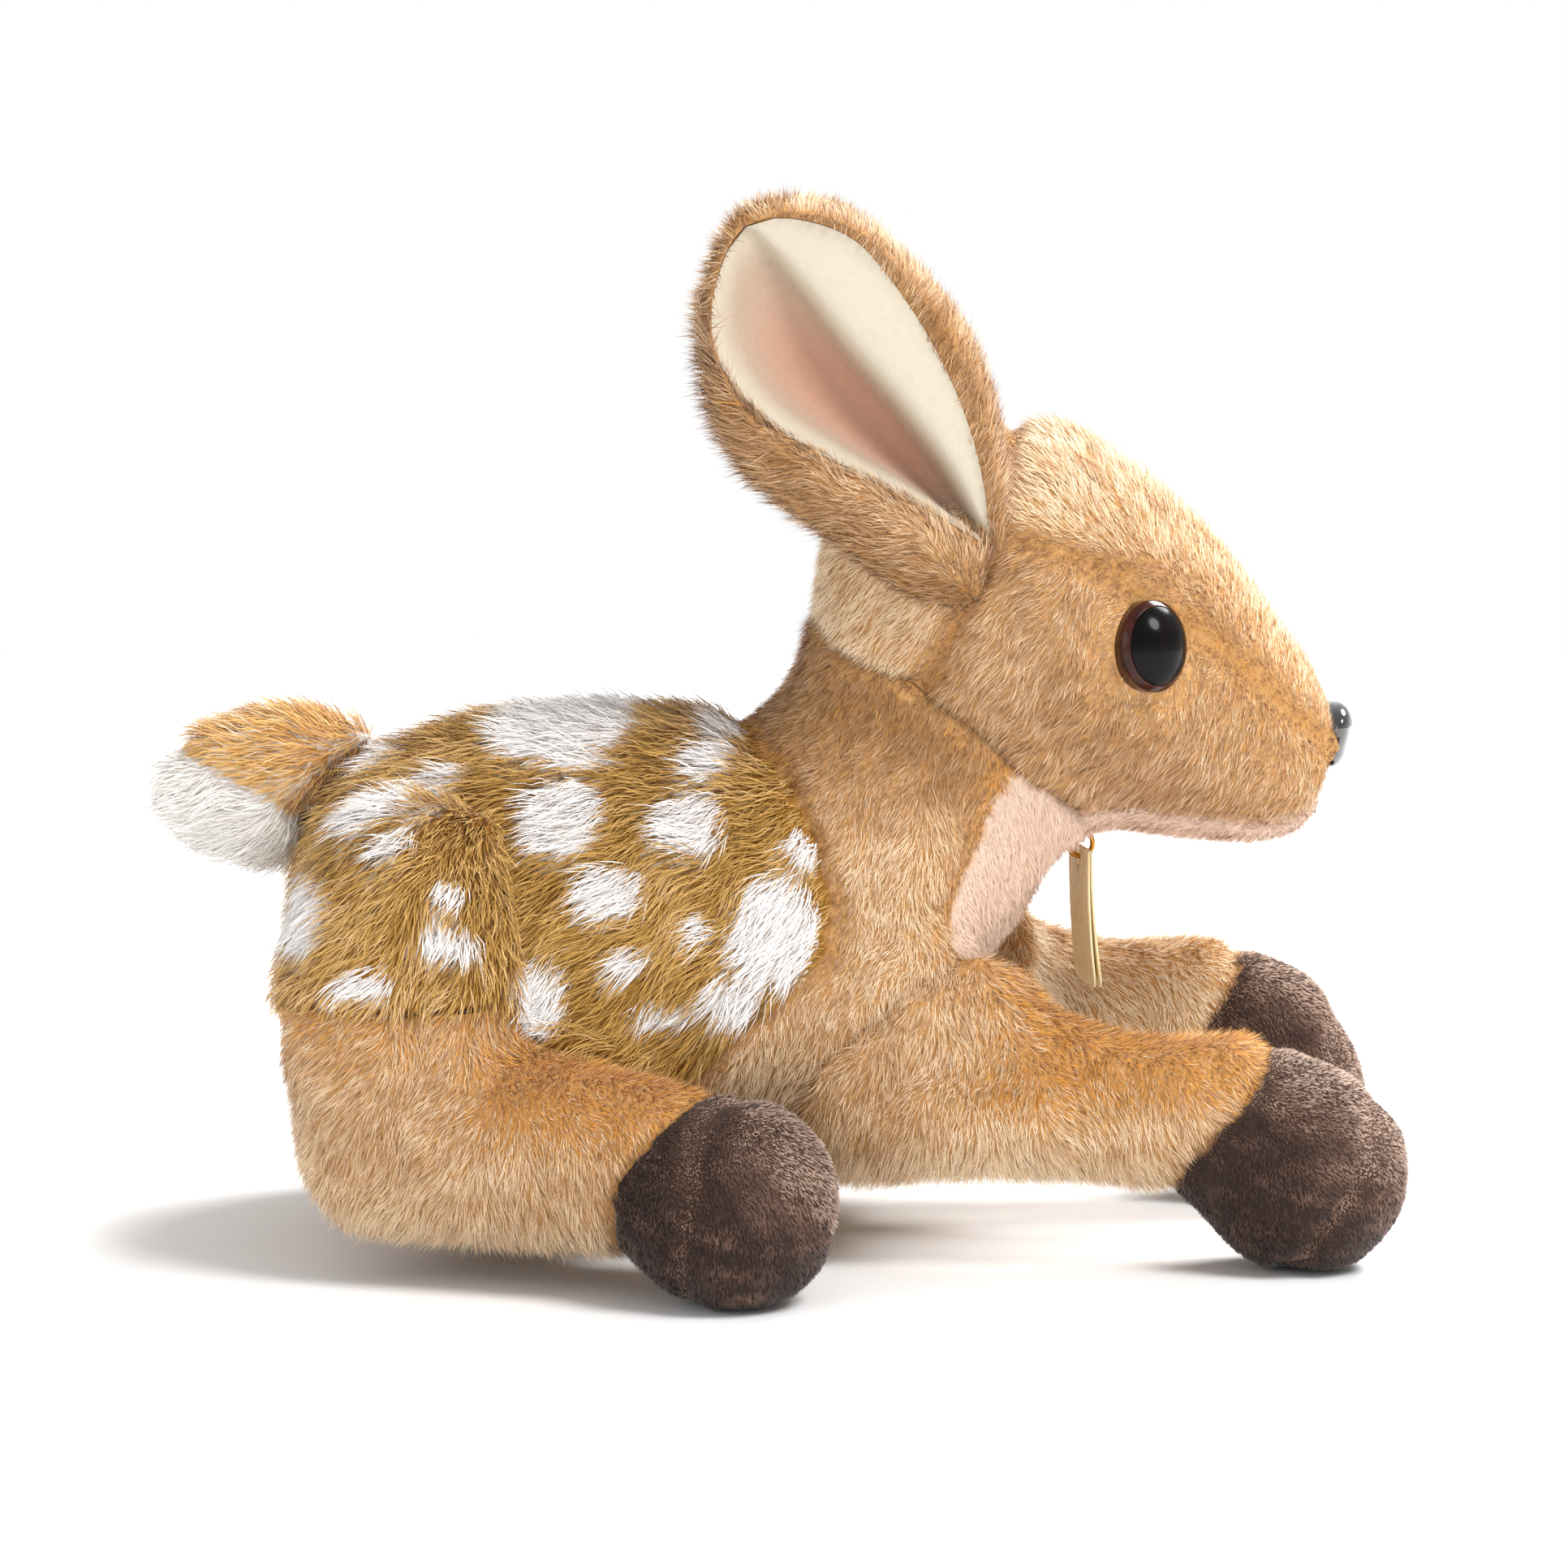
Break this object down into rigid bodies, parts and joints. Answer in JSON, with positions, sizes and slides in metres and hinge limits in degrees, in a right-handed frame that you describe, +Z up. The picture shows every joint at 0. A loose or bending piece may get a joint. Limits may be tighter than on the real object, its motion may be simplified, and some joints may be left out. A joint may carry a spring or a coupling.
{
  "type": "plush fawn",
  "caption": "Plush fawn lying down, with a spotted back, a head that turns, ears that fold, a wagging tail and legs that swing out.",
  "frame": {"origin": "middle of the footprint on the floor", "axes": "+X towards the fawn's front, +Y to its left, +Z up"},
  "size_m": [0.2752, 0.2102, 0.2358],
  "materials": {
    "plush_tan": "matte",
    "plush_spotted": "matte",
    "plush_pale": "matte",
    "plush_white": "matte",
    "ear_cloth": "matte",
    "hoof_velour": "matte",
    "fibre": "matte",
    "eye_brown": "gloss",
    "eye_black": "gloss",
    "nose_black": "gloss",
    "washer_plastic": "matte",
    "tag_card": "matte",
    "tag_brass": "satin",
    "tag_cord": "matte"
  },
  "bodies": {
    "torso": {"saddle": "plush_spotted", "belly_panel": "plush_tan", "right_shoulder_panel": "plush_tan", "left_shoulder_panel": "plush_tan", "chest_bib": "plush_pale", "body_filling": "fibre", "right_haunch": "plush_spotted", "left_haunch": "plush_spotted", "right_haunch_filling": "fibre", "left_haunch_filling": "fibre", "tag_cord": "tag_cord", "tag_ring": "tag_brass"},
    "head": {"head_back": "plush_tan", "head_gusset": "plush_tan", "right_cheek": "plush_tan", "left_cheek": "plush_tan", "chin_panel": "plush_pale", "head_filling": "fibre", "right_eye": "eye_brown", "left_eye": "eye_brown", "right_pupil": "eye_black", "left_pupil": "eye_black", "right_eye_washer": "washer_plastic", "left_eye_washer": "washer_plastic", "nose": "nose_black", "nose_washer": "washer_plastic"},
    "right_ear": {"right_ear_back": "plush_tan", "right_ear_lining": "ear_cloth"},
    "left_ear": {"left_ear_back": "plush_tan", "left_ear_lining": "ear_cloth"},
    "tail": {"tail_top": "plush_tan", "tail_underside": "plush_white", "tail_filling": "fibre"},
    "tag": {"hang_tag": "tag_card"},
    "right_front_leg": {"right_front_leg_cover": "plush_tan", "right_front_leg_filling": "fibre", "right_front_leg_hoof": "hoof_velour", "right_front_leg_sole": "hoof_velour"},
    "left_front_leg": {"left_front_leg_cover": "plush_tan", "left_front_leg_filling": "fibre", "left_front_leg_hoof": "hoof_velour", "left_front_leg_sole": "hoof_velour"},
    "right_hind_leg": {"right_hind_leg_cover": "plush_tan", "right_hind_leg_filling": "fibre", "right_hind_leg_hoof": "hoof_velour", "right_hind_leg_sole": "hoof_velour"},
    "left_hind_leg": {"left_hind_leg_cover": "plush_tan", "left_hind_leg_filling": "fibre", "left_hind_leg_hoof": "hoof_velour", "left_hind_leg_sole": "hoof_velour"}
  },
  "joints": [
    {"name": "head_turn", "type": "hinge", "parent": "torso", "child": "head", "pos_m": [0.03544, 0, 0.117], "axis": [0.5446, 0, 0.8387], "range_deg": [-25, 25], "stiffness_Nm_per_rad": 0.5},
    {"name": "right_ear_fold", "type": "hinge", "parent": "head", "child": "right_ear", "pos_m": [0.04462, -0.03723, 0.15861], "axis": [0.7867, 0.2863, 0.5469], "range_deg": [-5, 25], "stiffness_Nm_per_rad": 0.15},
    {"name": "left_ear_fold", "type": "hinge", "parent": "head", "child": "left_ear", "pos_m": [0.04462, 0.03723, 0.15861], "axis": [-0.7867, 0.2863, -0.5469], "range_deg": [-5, 25], "stiffness_Nm_per_rad": 0.15},
    {"name": "tail_wag", "type": "hinge", "parent": "torso", "child": "tail", "pos_m": [-0.08756, 0, 0.101], "axis": [0, 0, 1], "range_deg": [-25, 25], "stiffness_Nm_per_rad": 0.1},
    {"name": "right_front_leg_swing", "type": "hinge", "parent": "torso", "child": "right_front_leg", "pos_m": [0.02244, -0.038, 0.041], "axis": [0, 0, 1], "range_deg": [-25, 0], "stiffness_Nm_per_rad": 0.3},
    {"name": "left_front_leg_swing", "type": "hinge", "parent": "torso", "child": "left_front_leg", "pos_m": [0.02244, 0.038, 0.041], "axis": [0, 0, 1], "range_deg": [0, 25], "stiffness_Nm_per_rad": 0.3},
    {"name": "right_hind_leg_swing", "type": "hinge", "parent": "torso", "child": "right_hind_leg", "pos_m": [-0.08156, -0.052, 0.03], "axis": [0, 0, 1], "range_deg": [-30, 0], "stiffness_Nm_per_rad": 0.3},
    {"name": "left_hind_leg_swing", "type": "hinge", "parent": "torso", "child": "left_hind_leg", "pos_m": [-0.08156, 0.052, 0.03], "axis": [0, 0, 1], "range_deg": [0, 30], "stiffness_Nm_per_rad": 0.3},
    {"name": "tag_swing", "type": "hinge", "parent": "torso", "child": "tag", "pos_m": [0.06902, 0, 0.08816], "axis": [-0.2079, 0.9781, 0], "range_deg": [-60, 4]}
  ]
}
